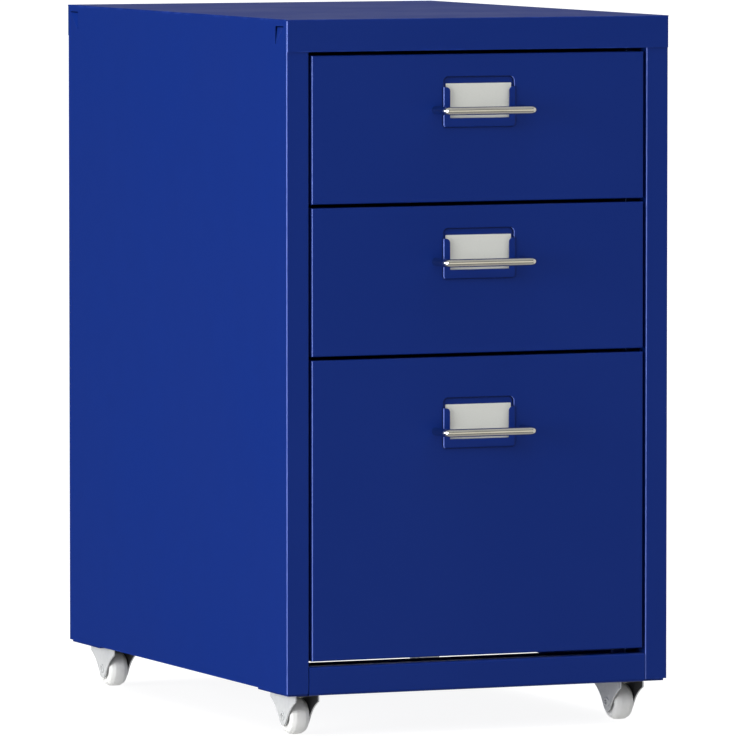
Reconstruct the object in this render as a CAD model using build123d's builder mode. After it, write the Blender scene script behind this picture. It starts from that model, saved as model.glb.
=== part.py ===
from build123d import *
from math import hypot, sqrt
import os

os.makedirs("parts", exist_ok=True)

# Mobile drawer pedestal of folded sheet steel, two shallow drawers over a deep one, on four casters.
# Millimetres, +Z up, drawers open towards -Y, origin on the floor below the middle of the whole object.

# Sheet steel and its folds
sheet = 0.9
bend_radius = 1.2

# Cabinet body
body_width = 348.0
body_depth = 508.0
stile_width = 20.0
stile_return = 13.0
panel_flange = 14.0
back_edge_gap = 2.0
back_bottom_gap = 0.5

# Top cover
apron_height = 27.0
apron_hem = 12.0
apron_hem_gap = 3.0
lap_clearance = 0.1

# Lanced tabs in the top corners of the side panels
tab_from_end = 7.0
tab_length = 16.7
tab_height = 14.2
tab_below_top = 6.6
tab_push = 1.4
slit_width = 0.8

# Base rails that carry the casters
rail_sheet = 2.0
rail_bend_radius = 2.6
rail_depth = 72.0
rail_face_height = 24.2
rail_hem = 12.0
rail_lip = 20.2
rail_inset = 2.2
rail_end_gap = 0.3

# Drawer fronts
shallow_front_height = 123.6
deep_front_height = 251.25
front_gap = 3.2
base_gap = 4.5
front_side_gap = 2.7
front_depth = 14.0
front_hem = 10.0

# Label pocket pressed into each drawer front
pocket_width = 66.0
pocket_height = 43.2
pocket_top_corner = 5.0
pocket_bottom_corner = 2.5
pocket_depth = 1.8
pocket_rim_radius = 0.8
frame_raise = 1.8
frame_edge_radius = 1.4
frame_below_pocket_top = 9.6
frame_lip_radius = 3.5
window_width = 54.0
window_above_pocket_bottom = 7.6
pocket_drop_shallow = 18.0
pocket_drop_deep = 33.2

# Label cards
card_width = 59.6
card_thickness = 0.5
card_corner = 0.5
card_below_pocket_top = 6.6
card_foot_gap = 0.3

# Bow handles of bent rod
rod_diameter = 7.0
handle_centres = 79.0
handle_standoff = 25.7
handle_bend = 4.5
handle_below_pocket_top = 28.7

# Screws that hold the handles
screw_diameter = 4.0
screw_clearance = 0.1
screw_depth = 9.0
screw_head_diameter = 8.0
screw_head_height = 2.6
screw_hole_spare = 1.0

# Drawer trays
tray_hem = 8.0
tray_floor_rise = 8.0
tray_top_drop = 14.0
tray_rear_gap = 32.0

# Ball slides: channel on the cabinet, rail on the tray, ball cage between them
slide_height = 45.0
slide_sheet = 1.2
slide_bend_radius = 1.6
slide_setback = 6.0
slide_rear_gap = 36.0
slide_set_in = 0.5
slide_thickness = 12.5
slide_rise = 40.0
channel_depth = 9.5
channel_lip = 4.0
rail_web_depth = 8.5
ball_diameter = 3.6
ball_clearance = 0.3
ball_count = 5
ball_spacing = 18.0
cage_sheet = 0.8
cage_bend_radius = 1.0
cage_hole_clearance = 0.1
cage_flange_margin = 0.6
cage_web_gap = 1.0

# Uprights that carry the slides
upright_width = 25.0
upright_sheet = 1.2
upright_setback = 21.0

# Casters
wheel_radius = 15.5
wheel_width = 17.5
wheel_shoulder_drop = 0.5
wheel_shoulder_radius = 2.8
hub_radius = 5.5
hub_side_gap = 0.3
wheel_headroom = 2.95
fork_width = 22.0
fork_sheet = 1.5
fork_bend_radius = 2.0
fork_half_length = 27.7
fork_end_height = 6.0
fork_boss_radius = 8.0
fork_hollow_radius = 44.0
axle_radius = 2.5
axle_head_radius = 3.8
axle_head_height = 1.2
axle_dimple_radius = 2.4
axle_dimple_depth = 1.0
running_clearance = 0.05
caster_inset = 25.0
kingpin_inset = 34.0
caster_trail = 10.0
kingpin_radius = 4.0
kingpin_head_radius = 5.6
kingpin_head_height = 1.5
washer_thickness = 0.6
washer_radius = 9.0
swivel_clearance = 0.2

# Widths worked out from the sizes above
half_width = body_width / 2
stile_edge = half_width - stile_width
front_half_width = stile_edge - front_side_gap
slide_face = stile_edge - slide_set_in
tray_half_width = slide_face - slide_thickness

# Depths: the handles and the cover's rear apron are the outermost points
handle_reach = handle_standoff + rod_diameter / 2
cover_lap = sheet + lap_clearance
front_face = (handle_reach - body_depth - cover_lap) / 2
rear_face = front_face + body_depth
body_middle = (front_face + rear_face) / 2
front_back = front_face + front_depth
back_inner_face = rear_face - 2 * sheet
slide_start = front_back + slide_setback
slide_end = back_inner_face - slide_rear_gap
slide_length = slide_end - slide_start
tray_end = back_inner_face - tray_rear_gap

# Heights, from the floor up through the stack of drawer fronts to the cover
fork_web_bottom = 2 * wheel_radius + wheel_headroom
fork_top = fork_web_bottom + fork_sheet
washer_bottom = fork_top + swivel_clearance
rail_bottom = washer_bottom + washer_thickness
rail_top = rail_bottom + rail_face_height
side_bottom = rail_bottom + rail_sheet
bottom_front_z = rail_top + base_gap
middle_front_z = bottom_front_z + deep_front_height + front_gap
top_front_z = middle_front_z + shallow_front_height + front_gap
apron_bottom = top_front_z + shallow_front_height + front_gap
cover_top = apron_bottom + apron_height
side_top = cover_top - sheet

# Each drawer: lower edge and height of its front, and how far its pocket lies below the upper edge
drawers = {
    "top": (top_front_z, shallow_front_height, pocket_drop_shallow),
    "middle": (middle_front_z, shallow_front_height, pocket_drop_shallow),
    "bottom": (bottom_front_z, deep_front_height, pocket_drop_deep),
}

# Each caster: side of the cabinet, the end face it is set in from, and which way is inwards
casters = {
    "front_left": (-1, front_face, 1),
    "front_right": (1, front_face, 1),
    "rear_left": (-1, rear_face, -1),
    "rear_right": (1, rear_face, -1),
}


def save(piece, name):
    """Labels a finished piece and writes it under its own name."""
    piece.part.label = name
    export_step(piece.part, f"parts/{name}.step")


def folded_section(plane, corners, thickness, radius, inner_side):
    """Section of a folded sheet, drawn from the corners of its outer face."""
    with BuildSketch(plane) as section:
        with BuildLine():
            FilletPolyline(*corners, radius=radius)
            offset(amount=thickness, side=inner_side)
        make_face()
    return section.sketch


def pocket_outline(plane, middle, inset):
    """Outline of a label pocket, drawn in by the given inset."""
    with BuildSketch(plane) as outline:
        with Locations((0, middle)):
            Rectangle(pocket_width - 2 * inset, pocket_height - 2 * inset)
        fillet(outline.vertices().group_by(Axis.Y)[-1], pocket_top_corner - inset)
        fillet(outline.vertices().group_by(Axis.Y)[0], pocket_bottom_corner - inset)
    return outline.sketch


# Top cover: a folded sheet whose aprons lap over the front and the back of the cabinet
cover_front = front_face - cover_lap
cover_rear = rear_face + cover_lap
cover_section = folded_section(
    Plane.YZ.offset(-half_width),
    [(cover_front, apron_bottom), (cover_front, cover_top), (cover_rear, cover_top), (cover_rear, apron_bottom)],
    sheet,
    bend_radius,
    Side.RIGHT,
)
with BuildPart() as top_cover:
    extrude(cover_section, amount=body_width)
    with BuildSketch(Plane.XY.offset(apron_bottom)):
        with Locations((0, cover_front)):
            Rectangle(2 * (stile_edge - apron_hem_gap), apron_hem, align=(Align.CENTER, Align.MIN))
    extrude(amount=sheet)
    # the upright ends of the aprons are rounded like the corners below them
    with BuildSketch(Plane.XY.offset(apron_bottom)):
        with Locations((0, body_middle)):
            Rectangle(body_width, cover_rear - cover_front)
            RectangleRounded(body_width, cover_rear - cover_front, bend_radius, mode=Mode.SUBTRACT)
    extrude(amount=side_top - apron_bottom, mode=Mode.SUBTRACT)
save(top_cover, "top_cover")

# Side panels: folded into a stile at the front and into flanges at the back, the top and the bottom
side_section = folded_section(
    Plane.XY.offset(side_bottom),
    [
        (-stile_edge, front_face + stile_return),
        (-stile_edge, front_face),
        (-half_width, front_face),
        (-half_width, rear_face),
        (-stile_edge, rear_face),
    ],
    sheet,
    bend_radius,
    Side.RIGHT,
)
tab_top = cover_top - tab_below_top
tab_foot = tab_top - tab_height
with BuildPart() as side_panel_left:
    extrude(side_section, amount=side_top - side_bottom)
    with BuildSketch(Plane.XY.offset(side_bottom), Plane.XY.offset(side_top - sheet)):
        with Locations((-half_width, body_middle)):
            Rectangle(panel_flange, body_depth - 2 * bend_radius, align=(Align.MIN, Align.CENTER))
    extrude(amount=sheet)
    with BuildSketch(Plane.XY.offset(side_top)):
        with Locations((-half_width, front_face)):
            Rectangle(stile_width, bend_radius, align=(Align.MIN, Align.MIN))
        with Locations((-half_width, rear_face)):
            Rectangle(stile_width, bend_radius, align=(Align.MIN, Align.MAX))
    extrude(amount=sheet - bend_radius, mode=Mode.SUBTRACT)
    for end_face, inward in ((front_face, 1), (rear_face, -1)):
        # an L-shaped slit, and the corner inside it pushed in to hold the cover
        tab_near = end_face + inward * tab_from_end
        tab_far = tab_near + inward * tab_length
        slit_far = tab_far + inward * slit_width
        slit_top = tab_top + slit_width
        with BuildSketch(Plane.YZ.offset(-half_width)):
            with BuildLine():
                Polyline(
                    (tab_near, tab_top),
                    (tab_near, slit_top),
                    (slit_far, slit_top),
                    (slit_far, tab_foot),
                    (tab_far, tab_foot),
                    close=True,
                )
            make_face()
        extrude(amount=sheet, mode=Mode.SUBTRACT)
        hinge_start = Vector(-half_width, tab_near, tab_top)
        hinge_run = Vector(-half_width, tab_far, tab_foot) - hinge_start
        corner_run = Vector(-half_width + tab_push, tab_far, tab_top) - hinge_start
        tab_plane = Plane(hinge_start, x_dir=hinge_run, z_dir=hinge_run.cross(corner_run) * inward)
        corner_local = tab_plane.to_local_coords(hinge_start + corner_run)
        with BuildSketch(tab_plane):
            with BuildLine():
                Polyline((0, 0), (hinge_run.length, 0), (corner_local.X, corner_local.Y), close=True)
            make_face()
        extrude(amount=sheet)
save(side_panel_left, "side_panel_left")

with BuildPart() as side_panel_right:
    mirror(side_panel_left.part, about=Plane.YZ)
save(side_panel_right, "side_panel_right")

# Back panel: a flat sheet inside the rear flanges of the side panels
back_bottom = rail_top + back_bottom_gap
back_top = side_top - sheet
with BuildPart() as back_panel:
    with BuildSketch(Plane.XY.offset(back_bottom)):
        with Locations((0, back_inner_face)):
            Rectangle(2 * (half_width - sheet - back_edge_gap), sheet, align=(Align.CENTER, Align.MIN))
    extrude(amount=back_top - back_bottom)
save(back_panel, "back_panel")

# Base rails: channels between the stiles, their webs running out under the side panels
rail_half_width = stile_edge - rail_end_gap
rail_section = folded_section(
    Plane.YZ.offset(-rail_half_width),
    [
        (front_face + rail_hem, rail_top),
        (front_face, rail_top),
        (front_face, rail_bottom),
        (front_face + rail_depth, rail_bottom),
        (front_face + rail_depth, rail_bottom + rail_lip),
    ],
    rail_sheet,
    rail_bend_radius,
    Side.LEFT,
)
caster_x = half_width - caster_inset
with BuildPart() as front_base_rail:
    extrude(rail_section, amount=2 * rail_half_width)
    with BuildSketch(Plane.XY.offset(rail_bottom)):
        with Locations((0, front_face + rail_depth / 2)):
            Rectangle(2 * (half_width - rail_inset), rail_depth - 2 * rail_bend_radius)
    extrude(amount=rail_sheet)
    with BuildSketch(Plane.XY.offset(rail_bottom)):
        with Locations((-caster_x, front_face + kingpin_inset), (caster_x, front_face + kingpin_inset)):
            Circle(kingpin_radius + running_clearance)
    extrude(amount=rail_sheet, mode=Mode.SUBTRACT)
save(front_base_rail, "front_base_rail")

with BuildPart() as rear_base_rail:
    mirror(front_base_rail.part, about=Plane.XZ.offset(-body_middle))
save(rear_base_rail, "rear_base_rail")

# Uprights: channels that stand inside each side panel and carry the slides
upright_foot = side_bottom + sheet
upright_head = side_top - sheet
upright_starts = {"front": slide_start + upright_setback, "rear": slide_end - upright_setback - upright_width}
for end_name, start in upright_starts.items():
    upright_section = folded_section(
        Plane.XY.offset(upright_foot),
        [
            (-half_width + sheet, start),
            (-slide_face, start),
            (-slide_face, start + upright_width),
            (-half_width + sheet, start + upright_width),
        ],
        upright_sheet,
        slide_bend_radius,
        Side.LEFT,
    )
    with BuildPart() as upright_left:
        extrude(upright_section, amount=upright_head - upright_foot)
    save(upright_left, f"slide_upright_{end_name}_left")
    with BuildPart() as upright_right:
        mirror(upright_left.part, about=Plane.YZ)
    save(upright_right, f"slide_upright_{end_name}_right")

# Ball slides: a pair for each drawer
half_slide = slide_height / 2
channel_edge = slide_face - channel_depth
ball_space = ball_diameter + 2 * ball_clearance
ball_rise = half_slide - slide_sheet - ball_space / 2
rail_rise = half_slide - slide_sheet - ball_space
cage_outer = slide_face - slide_sheet - cage_web_gap
ball_x = cage_outer - cage_sheet - ball_diameter / 2 - cage_hole_clearance
cage_inner = ball_x - ball_diameter / 2 - cage_hole_clearance - cage_flange_margin
cage_rise = ball_rise + cage_sheet / 2
cage_length = ball_count * ball_spacing
slide_middle = (slide_start + slide_end) / 2
for drawer, (front_z, front_height, pocket_drop) in drawers.items():
    slide_z = front_z + tray_floor_rise + slide_rise
    slide_plane = Plane.XZ.offset(-slide_end)
    channel_section = folded_section(
        slide_plane,
        [
            (-channel_edge, slide_z + half_slide - channel_lip),
            (-channel_edge, slide_z + half_slide),
            (-slide_face, slide_z + half_slide),
            (-slide_face, slide_z - half_slide),
            (-channel_edge, slide_z - half_slide),
            (-channel_edge, slide_z - half_slide + channel_lip),
        ],
        slide_sheet,
        slide_bend_radius,
        Side.LEFT,
    )
    with BuildPart() as channel_left:
        extrude(channel_section, amount=slide_length)
    save(channel_left, f"slide_channel_{drawer}_left")
    with BuildPart() as channel_right:
        mirror(channel_left.part, about=Plane.YZ)
    save(channel_right, f"slide_channel_{drawer}_right")

    rail_tip = tray_half_width + rail_web_depth
    inner_section = folded_section(
        slide_plane,
        [
            (-rail_tip, slide_z + rail_rise),
            (-tray_half_width, slide_z + rail_rise),
            (-tray_half_width, slide_z - rail_rise),
            (-rail_tip, slide_z - rail_rise),
        ],
        slide_sheet,
        slide_bend_radius,
        Side.RIGHT,
    )
    with BuildPart() as inner_left:
        extrude(inner_section, amount=slide_length)
    save(inner_left, f"slide_rail_{drawer}_left")
    with BuildPart() as inner_right:
        mirror(inner_left.part, about=Plane.YZ)
    save(inner_right, f"slide_rail_{drawer}_right")

    cage_section = folded_section(
        Plane.XZ.offset(-slide_middle - cage_length / 2),
        [
            (-cage_inner, slide_z + cage_rise),
            (-cage_outer, slide_z + cage_rise),
            (-cage_outer, slide_z - cage_rise),
            (-cage_inner, slide_z - cage_rise),
        ],
        cage_sheet,
        cage_bend_radius,
        Side.LEFT,
    )
    with BuildPart() as cage_left:
        extrude(cage_section, amount=cage_length)
        with Locations((-ball_x, slide_middle, slide_z)):
            with GridLocations(0, ball_spacing, 1, ball_count):
                Cylinder(ball_diameter / 2 + cage_hole_clearance, slide_height, mode=Mode.SUBTRACT)
        for level in (slide_z - ball_rise, slide_z + ball_rise):
            with Locations((-ball_x, slide_middle, level)):
                with GridLocations(0, ball_spacing, 1, ball_count):
                    Sphere(ball_diameter / 2)
    save(cage_left, f"ball_cage_{drawer}_left")
    with BuildPart() as cage_right:
        mirror(cage_left.part, about=Plane.YZ)
    save(cage_right, f"ball_cage_{drawer}_right")

# Drawers: tray, pressed front, label card, handle and its screws
tray_length = tray_end - front_back
for drawer, (front_z, front_height, pocket_drop) in drawers.items():
    front_top = front_z + front_height
    front_middle = front_z + front_height / 2
    pocket_top = front_top - pocket_drop
    pocket_middle = pocket_top - pocket_height / 2
    pocket_bottom = pocket_top - pocket_height
    frame_top = pocket_top - frame_below_pocket_top
    window_bottom = pocket_bottom + window_above_pocket_bottom
    handle_z = pocket_top - handle_below_pocket_top
    face_plane = Plane.XZ.offset(-front_face)
    raised_plane = Plane.XZ.offset(-front_face + frame_raise)

    # Tray: an open box with its upper edges hemmed inwards
    tray_floor = front_z + tray_floor_rise
    tray_rim = front_top - tray_top_drop
    with BuildPart() as tray:
        with BuildSketch(Plane.XY.offset(tray_floor)):
            with Locations((0, front_back)):
                Rectangle(2 * tray_half_width, tray_length, align=(Align.CENTER, Align.MIN))
        extrude(amount=tray_rim - tray_floor)
        with BuildSketch(Plane.XY.offset(tray_floor + sheet)):
            with Locations((0, front_back + sheet)):
                Rectangle(
                    2 * (tray_half_width - sheet), tray_length - 2 * sheet, align=(Align.CENTER, Align.MIN)
                )
        extrude(amount=tray_rim - tray_floor - 2 * sheet, mode=Mode.SUBTRACT)
        with BuildSketch(Plane.XY.offset(tray_rim)):
            with Locations((0, front_back + tray_hem)):
                Rectangle(
                    2 * (tray_half_width - tray_hem), tray_length - 2 * tray_hem, align=(Align.CENTER, Align.MIN)
                )
        extrude(amount=-sheet, mode=Mode.SUBTRACT)
    save(tray, f"drawer_tray_{drawer}")

    # Front: a shallow pan with hemmed edges, a sunk pocket and the raised frame that holds the card
    pocket_edge = pocket_outline(face_plane, pocket_middle, 0)
    pocket_inside = pocket_outline(face_plane, pocket_middle, sheet)
    with BuildPart() as front:
        with BuildSketch(face_plane):
            with Locations((0, front_middle)):
                Rectangle(2 * front_half_width, front_height)
        extrude(amount=-front_depth)
        fillet(front.faces().sort_by(Axis.Y)[0].edges(), bend_radius)
        with BuildSketch(Plane.XZ.offset(-front_face - sheet)):
            with Locations((0, front_middle)):
                Rectangle(2 * (front_half_width - sheet), front_height - 2 * sheet)
        extrude(amount=-(front_depth - 2 * sheet), mode=Mode.SUBTRACT)
        with BuildSketch(Plane.XZ.offset(-front_back)):
            with Locations((0, front_middle)):
                Rectangle(2 * (front_half_width - front_hem), front_height - 2 * front_hem)
        extrude(amount=sheet, mode=Mode.SUBTRACT)
        extrude(pocket_edge, amount=-(pocket_depth + sheet))
        extrude(pocket_inside, amount=-pocket_depth, mode=Mode.SUBTRACT)
        face_edges = front.edges().filter_by_position(Axis.Y, front_face, front_face)
        fillet(face_edges.filter_by_position(Axis.Z, pocket_bottom, pocket_top), pocket_rim_radius)
        with BuildPart(mode=Mode.PRIVATE) as frame:
            extrude(pocket_edge, amount=frame_raise)
            extrude(pocket_edge, amount=-pocket_depth)
            with BuildSketch(Plane.XY.offset(frame_top)):
                with Locations((0, front_face)):
                    Rectangle(pocket_width, 2 * (pocket_depth + frame_raise))
            extrude(amount=pocket_height, mode=Mode.SUBTRACT)
            frame_rim = frame.faces().sort_by(Axis.Y)[0].edges()
            fillet(frame_rim.sort_by(Axis.Z)[:-1], frame_edge_radius)
            extrude(pocket_inside, amount=-pocket_depth, mode=Mode.SUBTRACT)
            extrude(pocket_inside, amount=frame_raise - sheet, mode=Mode.SUBTRACT)
            with BuildSketch(raised_plane):
                with Locations((0, window_bottom)):
                    Rectangle(window_width, frame_top - window_bottom, align=(Align.CENTER, Align.MIN))
                with Locations((0, frame_top)):
                    Rectangle(
                        window_width + 2 * frame_lip_radius, frame_lip_radius, align=(Align.CENTER, Align.MAX)
                    )
                    for side in (-1, 1):
                        with Locations((side * (window_width / 2 + frame_lip_radius), -frame_lip_radius)):
                            Circle(frame_lip_radius, mode=Mode.SUBTRACT)
            extrude(amount=-frame_raise, mode=Mode.SUBTRACT)
        add(frame.part)
        with BuildSketch(face_plane):
            with Locations((0, handle_z)):
                with GridLocations(handle_centres, 0, 2, 1):
                    Circle(screw_diameter / 2 + screw_clearance)
        extrude(amount=-sheet, mode=Mode.SUBTRACT)
    save(front, f"drawer_front_{drawer}")

    # Label card, standing in the pocket behind the raised frame
    card_top = pocket_top - card_below_pocket_top
    card_bottom = pocket_bottom + sheet + card_foot_gap
    with BuildPart() as card:
        with BuildSketch(Plane.XZ.offset(-front_face - pocket_depth)):
            with Locations((0, (card_top + card_bottom) / 2)):
                RectangleRounded(card_width, card_top - card_bottom, card_corner)
        extrude(amount=card_thickness)
    save(card, f"label_card_{drawer}")

    # Handle: bent rod with a blind threaded hole in each foot
    half_centres = handle_centres / 2
    with BuildPart() as handle:
        with BuildLine() as handle_line:
            FilletPolyline(
                (-half_centres, front_face, handle_z),
                (-half_centres, front_face - handle_standoff, handle_z),
                (half_centres, front_face - handle_standoff, handle_z),
                (half_centres, front_face, handle_z),
                radius=handle_bend,
            )
        with BuildSketch(face_plane):
            with Locations((-half_centres, handle_z)):
                Circle(rod_diameter / 2)
        sweep(path=handle_line.line)
        with BuildSketch(face_plane):
            with Locations((0, handle_z)):
                with GridLocations(handle_centres, 0, 2, 1):
                    Circle(screw_diameter / 2 + screw_clearance)
        extrude(amount=screw_depth + screw_hole_spare, mode=Mode.SUBTRACT)
    save(handle, f"drawer_handle_{drawer}")

    # Screws from inside the front into the feet of the handle
    with BuildPart() as screws:
        with BuildSketch(Plane.XZ.offset(-front_face - sheet)):
            with Locations((0, handle_z)):
                with GridLocations(handle_centres, 0, 2, 1):
                    Circle(screw_head_diameter / 2)
        extrude(amount=-screw_head_height)
        with BuildSketch(Plane.XZ.offset(-front_face - sheet)):
            with Locations((0, handle_z)):
                with GridLocations(handle_centres, 0, 2, 1):
                    Circle(screw_diameter / 2)
        extrude(amount=sheet + screw_depth)
    save(screws, f"handle_screws_{drawer}")

# Caster forks: cheeks hollowed front and back down to a boss round the axle
fork_corner = fork_top - fork_end_height
corner_rise = fork_corner - wheel_radius
corner_reach = hypot(fork_half_length, corner_rise)
boss_span = fork_hollow_radius + fork_boss_radius
along = (boss_span**2 - fork_hollow_radius**2 + corner_reach**2) / (2 * corner_reach)
across = sqrt(boss_span**2 - along**2)
hollow_y = (along * fork_half_length + across * corner_rise) / corner_reach
hollow_z = wheel_radius + (along * corner_rise - across * fork_half_length) / corner_reach
tangent_y = hollow_y * fork_boss_radius / boss_span
tangent_z = wheel_radius + (hollow_z - wheel_radius) * fork_boss_radius / boss_span
fork_inner_width = fork_width - 2 * fork_sheet
for caster, (side, end_face, inward) in casters.items():
    wheel_x = side * caster_x
    kingpin_y = end_face + inward * kingpin_inset
    axle_y = kingpin_y + inward * caster_trail
    cheek_plane = Plane.YZ.offset(wheel_x - fork_width / 2)
    axle_line = Axis((wheel_x, axle_y, wheel_radius), (1, 0, 0))

    with BuildPart() as fork:
        with BuildSketch(cheek_plane):
            with BuildLine():
                Polyline(
                    (axle_y - fork_half_length, fork_corner),
                    (axle_y - fork_half_length, fork_top),
                    (axle_y + fork_half_length, fork_top),
                    (axle_y + fork_half_length, fork_corner),
                )
                for way in (-1, 1):
                    RadiusArc(
                        (axle_y + way * fork_half_length, fork_corner),
                        (axle_y + way * tangent_y, tangent_z),
                        -way * fork_hollow_radius,
                    )
                ThreePointArc(
                    (axle_y - tangent_y, tangent_z),
                    (axle_y, wheel_radius - fork_boss_radius),
                    (axle_y + tangent_y, tangent_z),
                )
            make_face()
        extrude(amount=fork_width)
        fillet(fork.faces().sort_by(Axis.Z)[-1].edges().filter_by(Axis.Y), fork_bend_radius)
        with BuildSketch(Plane.XY.offset(fork_web_bottom)):
            with Locations((wheel_x, axle_y)):
                Rectangle(fork_inner_width, 2 * fork_half_length)
        extrude(amount=-fork_web_bottom, mode=Mode.SUBTRACT)
        with BuildSketch(cheek_plane):
            with Locations((axle_y, wheel_radius)):
                Circle(axle_radius + running_clearance)
        extrude(amount=fork_width, mode=Mode.SUBTRACT)
        with BuildSketch(Plane.XY.offset(fork_top)):
            with Locations((wheel_x, kingpin_y)):
                Circle(kingpin_radius + running_clearance)
        extrude(amount=-fork_sheet, mode=Mode.SUBTRACT)
    save(fork, f"caster_fork_{caster}")

    # Axle: a rivet with a dimple in each head
    head_span = fork_width + 2 * axle_head_height
    head_plane = Plane.YZ.offset(wheel_x - head_span / 2)
    far_head_plane = Plane.YZ.offset(wheel_x + fork_width / 2)
    with BuildPart() as axle:
        with BuildSketch(head_plane):
            with Locations((axle_y, wheel_radius)):
                Circle(axle_radius)
        extrude(amount=head_span)
        with BuildSketch(head_plane, far_head_plane):
            with Locations((axle_y, wheel_radius)):
                Circle(axle_head_radius)
        extrude(amount=axle_head_height)
        with BuildSketch(head_plane):
            with Locations((axle_y, wheel_radius)):
                Circle(axle_dimple_radius)
        extrude(amount=axle_dimple_depth, mode=Mode.SUBTRACT)
        with BuildSketch(Plane.YZ.offset(wheel_x + head_span / 2)):
            with Locations((axle_y, wheel_radius)):
                Circle(axle_dimple_radius)
        extrude(amount=-axle_dimple_depth, mode=Mode.SUBTRACT)
    save(axle, f"caster_axle_{caster}")

    # Wheel: crowned tread with rounded shoulders, turned about the axle
    hub_half_width = fork_inner_width / 2 - hub_side_gap
    tread_half_width = wheel_width / 2
    shoulder = wheel_radius - wheel_shoulder_drop
    bore = axle_radius + running_clearance
    wheel_plane = Plane((wheel_x, axle_y, wheel_radius), x_dir=(1, 0, 0), z_dir=(0, -1, 0))
    with BuildPart() as wheel:
        with BuildSketch(wheel_plane):
            with BuildLine():
                Polyline(
                    (-tread_half_width, shoulder),
                    (-tread_half_width, bore),
                    (tread_half_width, bore),
                    (tread_half_width, shoulder),
                )
                ThreePointArc((-tread_half_width, shoulder), (0, wheel_radius), (tread_half_width, shoulder))
            make_face()
            fillet(vertices().group_by(Axis.Y)[-1], wheel_shoulder_radius)
            with Locations((0, bore)):
                Rectangle(2 * hub_half_width, hub_radius - bore, align=(Align.CENTER, Align.MIN))
        revolve(axis=axle_line)
    save(wheel, f"caster_wheel_{caster}")

# Kingpins: riveted through the base rails, each with its head under the web of a fork
kingpin_foot = fork_web_bottom - swivel_clearance - kingpin_head_height
kingpin_spots = [(side * caster_x, face + inward * kingpin_inset) for side, face, inward in casters.values()]
with BuildPart() as kingpins:
    with BuildSketch(Plane.XY.offset(kingpin_foot)):
        with Locations(*kingpin_spots):
            Circle(kingpin_radius)
    extrude(amount=side_bottom - kingpin_foot)
    with BuildSketch(Plane.XY.offset(kingpin_foot), Plane.XY.offset(side_bottom)):
        with Locations(*kingpin_spots):
            Circle(kingpin_head_radius)
    extrude(amount=kingpin_head_height)
save(kingpins, "caster_kingpins")

# Washers between the forks and the base rails
with BuildPart() as washers:
    with BuildSketch(Plane.XY.offset(washer_bottom)):
        with Locations(*kingpin_spots):
            Circle(washer_radius)
            Circle(kingpin_radius + running_clearance, mode=Mode.SUBTRACT)
    extrude(amount=washer_thickness)
save(washers, "swivel_washers")
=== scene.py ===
from math import cos, pi, radians, sin

import bmesh
import bpy
from mathutils import Matrix, Vector


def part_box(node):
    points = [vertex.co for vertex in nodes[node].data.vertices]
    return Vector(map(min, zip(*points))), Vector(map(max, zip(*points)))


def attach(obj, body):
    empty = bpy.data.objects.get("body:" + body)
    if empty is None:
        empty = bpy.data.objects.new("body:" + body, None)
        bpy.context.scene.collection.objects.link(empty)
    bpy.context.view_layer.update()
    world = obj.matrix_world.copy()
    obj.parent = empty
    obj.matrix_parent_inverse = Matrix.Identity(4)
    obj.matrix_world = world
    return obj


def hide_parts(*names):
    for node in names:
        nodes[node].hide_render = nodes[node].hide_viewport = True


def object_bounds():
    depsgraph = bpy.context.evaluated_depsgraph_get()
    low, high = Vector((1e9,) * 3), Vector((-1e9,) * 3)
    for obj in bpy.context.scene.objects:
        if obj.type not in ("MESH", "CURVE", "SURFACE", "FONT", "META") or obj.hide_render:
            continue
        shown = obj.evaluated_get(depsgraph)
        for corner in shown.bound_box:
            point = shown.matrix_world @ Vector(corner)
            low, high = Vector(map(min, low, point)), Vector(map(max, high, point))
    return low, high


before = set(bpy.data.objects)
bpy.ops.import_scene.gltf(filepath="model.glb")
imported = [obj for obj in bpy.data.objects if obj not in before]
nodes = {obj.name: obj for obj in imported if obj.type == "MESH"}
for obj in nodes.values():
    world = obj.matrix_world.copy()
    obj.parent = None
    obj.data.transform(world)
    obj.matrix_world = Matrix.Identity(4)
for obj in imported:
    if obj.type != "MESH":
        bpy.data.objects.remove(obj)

cad_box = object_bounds()
scene = bpy.context.scene
scene.view_settings.view_transform = "Standard"
mm = 0.001

# Camera: a long lens at about knee height, to the left of the drawers and looking a little down.
# Its place was fitted to the straight edges of the cabinet.
camera_lens = 426.49
camera_place = Vector((-2.9108, -6.9240, 0.8069))
camera_heading = radians(22.802)
camera_pitch = radians(3.928)
look = Vector((sin(camera_heading), cos(camera_heading), 0)) * cos(camera_pitch)
look.z = -sin(camera_pitch)
camera = bpy.data.objects.new("camera", bpy.data.cameras.new("camera"))
camera.data.lens = camera_lens
camera.data.sensor_width = 36
camera.location = camera_place
camera.rotation_euler = look.to_track_quat("-Z", "Y").to_euler()
scene.collection.objects.link(camera)
scene.camera = camera

# Studio: a wide soft light stands low on the left, a weaker one higher in front, and the ceiling glows.
# A cool panel on the left shows only in what mirrors it. The background is white; metal and paint mirror
# it behind the object, and in front a dimmer, warmer room with a bright band at eye height.
ceiling_level = 3.0
room_level = 0.05
backdrop_edge_level = 0.19
front_high = (0.22, 0.22, 0.20, 1.0)
front_band = (0.90, 0.86, 0.74, 1.0)
front_low = (0.12, 0.12, 0.11, 1.0)
overhead = (0.50, 0.50, 0.49, 1.0)
underfoot = (0.42, 0.41, 0.40, 1.0)
right_wall = (0.75, 0.73, 0.68, 1.0)
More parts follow.
